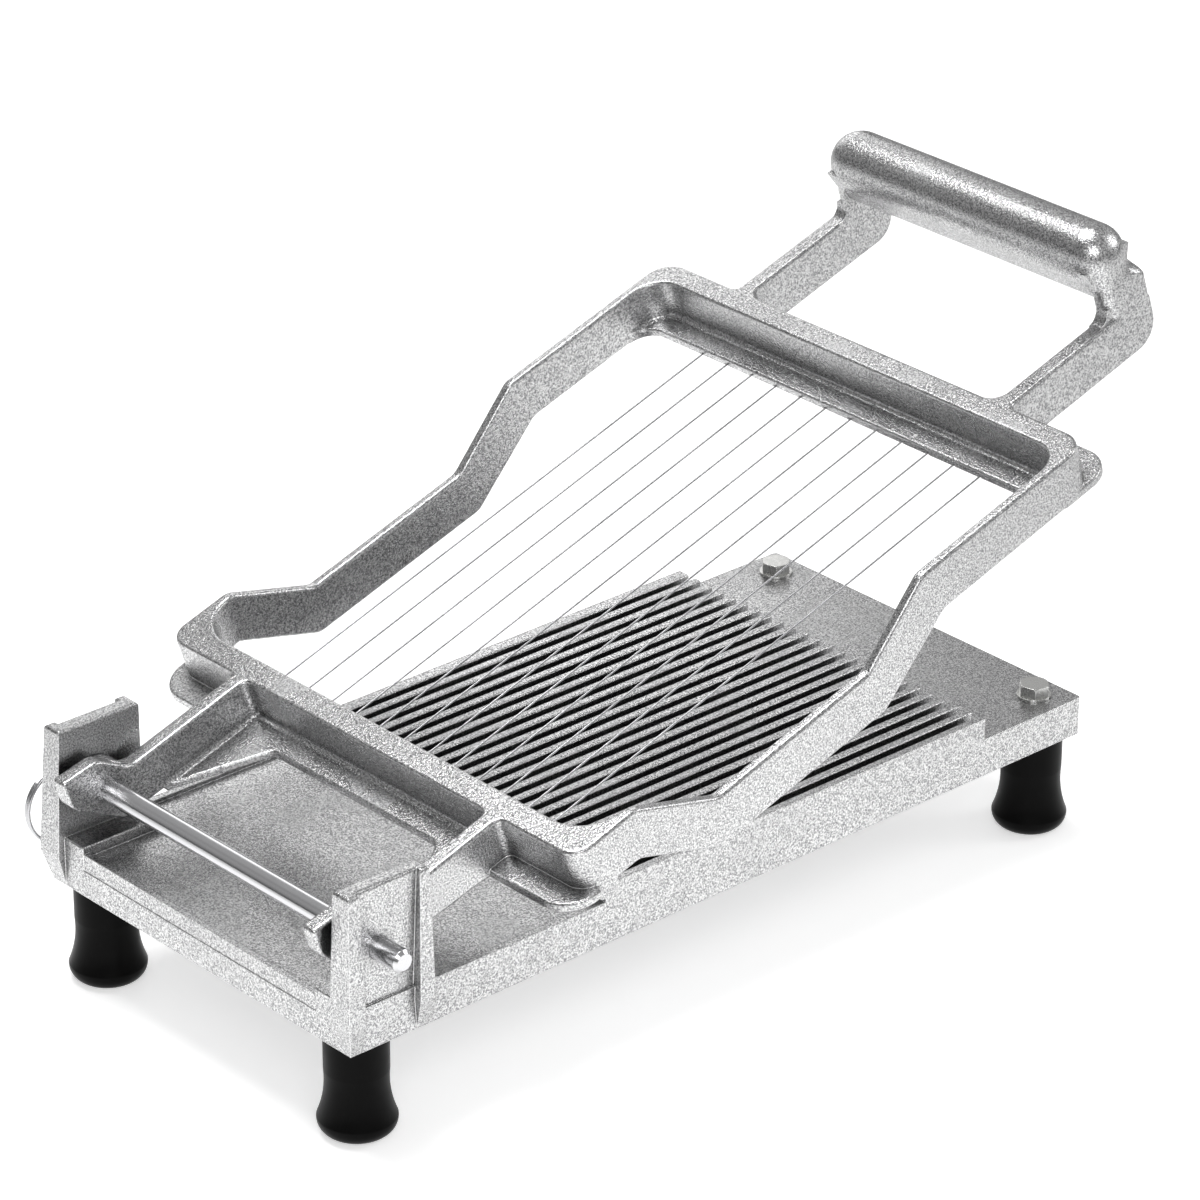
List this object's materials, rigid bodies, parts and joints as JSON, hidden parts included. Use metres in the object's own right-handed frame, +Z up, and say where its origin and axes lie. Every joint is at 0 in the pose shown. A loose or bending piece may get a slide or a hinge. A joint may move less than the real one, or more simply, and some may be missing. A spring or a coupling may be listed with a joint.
{
  "type": "hinged multi-wire bench slicer",
  "caption": "Cast metal bench slicer with a hinged wire frame that presses parallel wires between the ribs of a footed base.",
  "frame": {"origin": "middle of the base casting's plan, on the bench surface under the feet", "axes": "+X from the hinge towards the grip, +Y towards the pin's ring, +Z up"},
  "size_m": [0.3842, 0.2172, 0.2219],
  "materials": {
    "cast_aluminium": "bead blasted casting",
    "polished_steel": "polished",
    "wire_steel": "drawn wire",
    "zinc_steel": "zinc plated",
    "black_rubber": "moulded, satin"
  },
  "bodies": {
    "base": {"base_casting": "cast_aluminium", "foot_front_right": "black_rubber", "foot_front_left": "black_rubber", "foot_rear_right": "black_rubber", "foot_rear_left": "black_rubber", "foot_washers": "zinc_steel", "deck_washers": "zinc_steel", "rear_foot_bolts": "zinc_steel", "rear_foot_nuts": "zinc_steel", "front_foot_screws": "zinc_steel"},
    "arm": {"arm_frame": "cast_aluminium", "wire_01": "wire_steel", "wire_02": "wire_steel", "wire_03": "wire_steel", "wire_04": "wire_steel", "wire_05": "wire_steel", "wire_06": "wire_steel", "wire_07": "wire_steel", "wire_08": "wire_steel", "wire_09": "wire_steel", "wire_10": "wire_steel", "wire_11": "wire_steel", "wire_12": "wire_steel", "wire_sleeves_front": "wire_steel", "wire_sleeves_rear": "wire_steel"},
    "pin": {"pivot_pin": "polished_steel"},
    "ring": {"pull_ring": "polished_steel"}
  },
  "joints": [
    {"name": "arm_hinge", "type": "hinge", "parent": "base", "child": "arm", "pos_m": [-0.1557, 0, 0.0723], "axis": [0, -1, 0], "range_deg": [-18.15, 74.8]},
    {"name": "pin_pull", "type": "slide", "parent": "base", "child": "pin", "axis": [0, 1, 0], "range_m": [0, 0.175]},
    {"name": "ring_swing", "type": "hinge", "parent": "pin", "child": "ring", "pos_m": [-0.1557, 0.088, 0.0723], "axis": [1, 0, 0], "range_deg": [-1.5, 105]}
  ]
}
